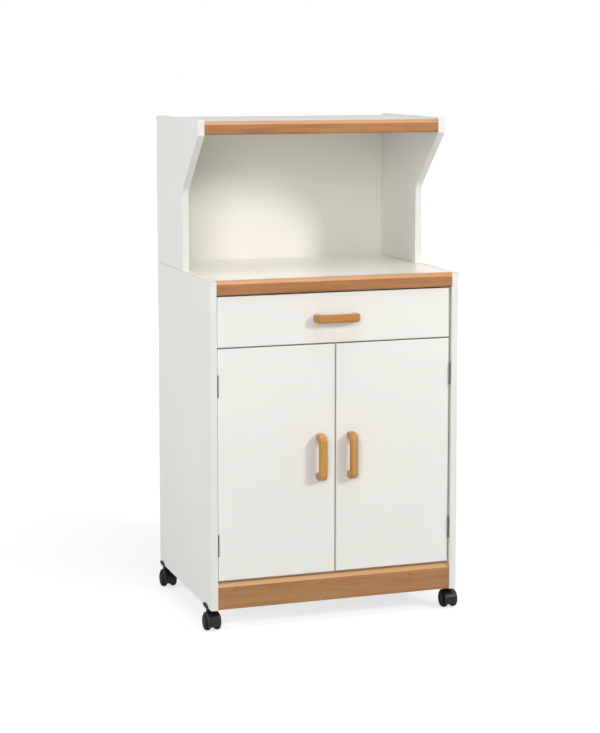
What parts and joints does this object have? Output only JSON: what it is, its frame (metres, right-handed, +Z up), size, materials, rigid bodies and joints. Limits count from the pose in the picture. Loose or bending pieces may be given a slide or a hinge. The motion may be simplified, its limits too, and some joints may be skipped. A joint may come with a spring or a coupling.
{
  "type": "oven cart",
  "caption": "Free-standing rolling cart: open hutch and shelf over a countertop, a drawer above hinged cupboard doors, wooden trims and pulls, swivel casters.",
  "frame": {"origin": "on the floor, under the middle of the whole cart's box", "axes": "+Z up, +Y to the back, +X to the right as seen from the front"},
  "size_m": [0.612, 0.471, 1.14],
  "materials": {
    "white_laminate": "satin melamine laminate on particle board",
    "white_hardboard": "thin hardboard, white on its face and brown on its rear",
    "drawer_board": "foil-wrapped board",
    "oak_trim": "honey oak, satin lacquer",
    "oak_pull": "honey oak, gloss lacquer",
    "beech_dowel": "fluted beech",
    "hinge_metal": "dull nickel plate",
    "zinc_steel": "zinc plate",
    "runner_enamel": "cream epoxy enamel",
    "roller_nylon": "white nylon",
    "catch_plastic": "moulded, with dark magnets",
    "black_plastic": "satin black nylon",
    "wheel_plastic": "satin black nylon"
  },
  "bodies": {
    "cabinet": {"left_lower_end": "white_laminate", "right_lower_end": "white_laminate", "left_upper_end": "white_laminate", "right_upper_end": "white_laminate", "countertop": "white_laminate", "hutch_top": "white_laminate", "bottom_shelf": "white_laminate", "cross_rail": "white_laminate", "adjustable_shelf": "white_laminate", "upper_back_panel": "white_hardboard", "lower_back_panel": "white_hardboard", "countertop_trim": "oak_trim", "hutch_top_trim": "oak_trim", "kickboard": "oak_trim", "wood_dowels": "beech_dowel", "hinge_frame_leaves": "hinge_metal", "hinge_pins": "hinge_metal", "cam_locks": "zinc_steel", "cam_bolts": "zinc_steel", "back_nails": "zinc_steel", "cabinet_screws": "zinc_steel", "caster_stems": "zinc_steel", "shelf_pins": "zinc_steel", "left_cabinet_runner": "runner_enamel", "right_cabinet_runner": "runner_enamel", "magnetic_catch": "catch_plastic", "caster_sockets": "black_plastic"},
    "left_door": {"left_door": "white_laminate", "left_door_pull": "oak_pull", "left_door_hinge_leaves": "hinge_metal", "left_door_strike": "zinc_steel", "left_door_screws": "zinc_steel"},
    "right_door": {"right_door": "white_laminate", "right_door_pull": "oak_pull", "right_door_hinge_leaves": "hinge_metal", "right_door_strike": "zinc_steel", "right_door_screws": "zinc_steel"},
    "drawer": {"drawer_front": "white_laminate", "drawer_left_side": "drawer_board", "drawer_right_side": "drawer_board", "drawer_back": "drawer_board", "drawer_bottom": "white_hardboard", "drawer_pull": "oak_pull", "drawer_left_runner": "runner_enamel", "drawer_right_runner": "runner_enamel", "drawer_screws": "zinc_steel"},
    "cabinet_roller_pair": {"cabinet_rollers": "roller_nylon"},
    "drawer_roller_pair": {"drawer_rollers": "roller_nylon"},
    "front_left_caster": {"front_left_caster_hood": "black_plastic"},
    "front_left_wheels": {"front_left_caster_wheels": "wheel_plastic", "front_left_caster_axle": "zinc_steel"},
    "front_right_caster": {"front_right_caster_hood": "black_plastic"},
    "front_right_wheels": {"front_right_caster_wheels": "wheel_plastic", "front_right_caster_axle": "zinc_steel"},
    "rear_left_caster": {"rear_left_caster_hood": "black_plastic"},
    "rear_left_wheels": {"rear_left_caster_wheels": "wheel_plastic", "rear_left_caster_axle": "zinc_steel"},
    "rear_right_caster": {"rear_right_caster_hood": "black_plastic"},
    "rear_right_wheels": {"rear_right_caster_wheels": "wheel_plastic", "rear_right_caster_axle": "zinc_steel"}
  },
  "joints": [
    {"name": "drawer_slide", "type": "slide", "parent": "cabinet", "child": "drawer", "axis": [0, -1, 0], "range_m": [0, 0.28]},
    {"name": "left_door_hinge", "type": "hinge", "parent": "cabinet", "child": "left_door", "pos_m": [-0.2772, -0.2099, 0.1152], "axis": [0, 0, -1], "range_deg": [0, 140]},
    {"name": "right_door_hinge", "type": "hinge", "parent": "cabinet", "child": "right_door", "pos_m": [0.2772, -0.2099, 0.1152], "axis": [0, 0, 1], "range_deg": [0, 140]},
    {"name": "cabinet_roller_turn", "type": "hinge", "parent": "cabinet", "child": "cabinet_roller_pair", "pos_m": [0, -0.1735, 0.6617], "axis": [1, 0, 0], "continuous": true},
    {"name": "drawer_roller_turn", "type": "hinge", "parent": "drawer", "child": "drawer_roller_pair", "pos_m": [0, 0.1415, 0.6595], "axis": [1, 0, 0], "continuous": true},
    {"name": "front_left_caster_swivel", "type": "hinge", "parent": "cabinet", "child": "front_left_caster", "pos_m": [-0.2875, -0.1695, 0.0455], "axis": [0, 0, 1], "continuous": true},
    {"name": "front_left_wheel_spin", "type": "hinge", "parent": "front_left_caster", "child": "front_left_wheels", "pos_m": [-0.2875, -0.1875, 0.02], "axis": [1, 0, 0], "continuous": true},
    {"name": "front_right_caster_swivel", "type": "hinge", "parent": "cabinet", "child": "front_right_caster", "pos_m": [0.2875, -0.1695, 0.0455], "axis": [0, 0, 1], "continuous": true},
    {"name": "front_right_wheel_spin", "type": "hinge", "parent": "front_right_caster", "child": "front_right_wheels", "pos_m": [0.2875, -0.1875, 0.02], "axis": [1, 0, 0], "continuous": true},
    {"name": "rear_left_caster_swivel", "type": "hinge", "parent": "cabinet", "child": "rear_left_caster", "pos_m": [-0.2875, 0.2125, 0.0455], "axis": [0, 0, 1], "continuous": true},
    {"name": "rear_left_wheel_spin", "type": "hinge", "parent": "rear_left_caster", "child": "rear_left_wheels", "pos_m": [-0.2875, 0.1945, 0.02], "axis": [1, 0, 0], "continuous": true},
    {"name": "rear_right_caster_swivel", "type": "hinge", "parent": "cabinet", "child": "rear_right_caster", "pos_m": [0.2875, 0.2125, 0.0455], "axis": [0, 0, 1], "continuous": true},
    {"name": "rear_right_wheel_spin", "type": "hinge", "parent": "rear_right_caster", "child": "rear_right_wheels", "pos_m": [0.2875, 0.1945, 0.02], "axis": [1, 0, 0], "continuous": true}
  ],
  "couplings": [
    {"joint": "cabinet_roller_turn", "follows": "drawer_slide", "rad_per_m": 106.38},
    {"joint": "drawer_roller_turn", "follows": "drawer_slide", "rad_per_m": 106.38}
  ]
}
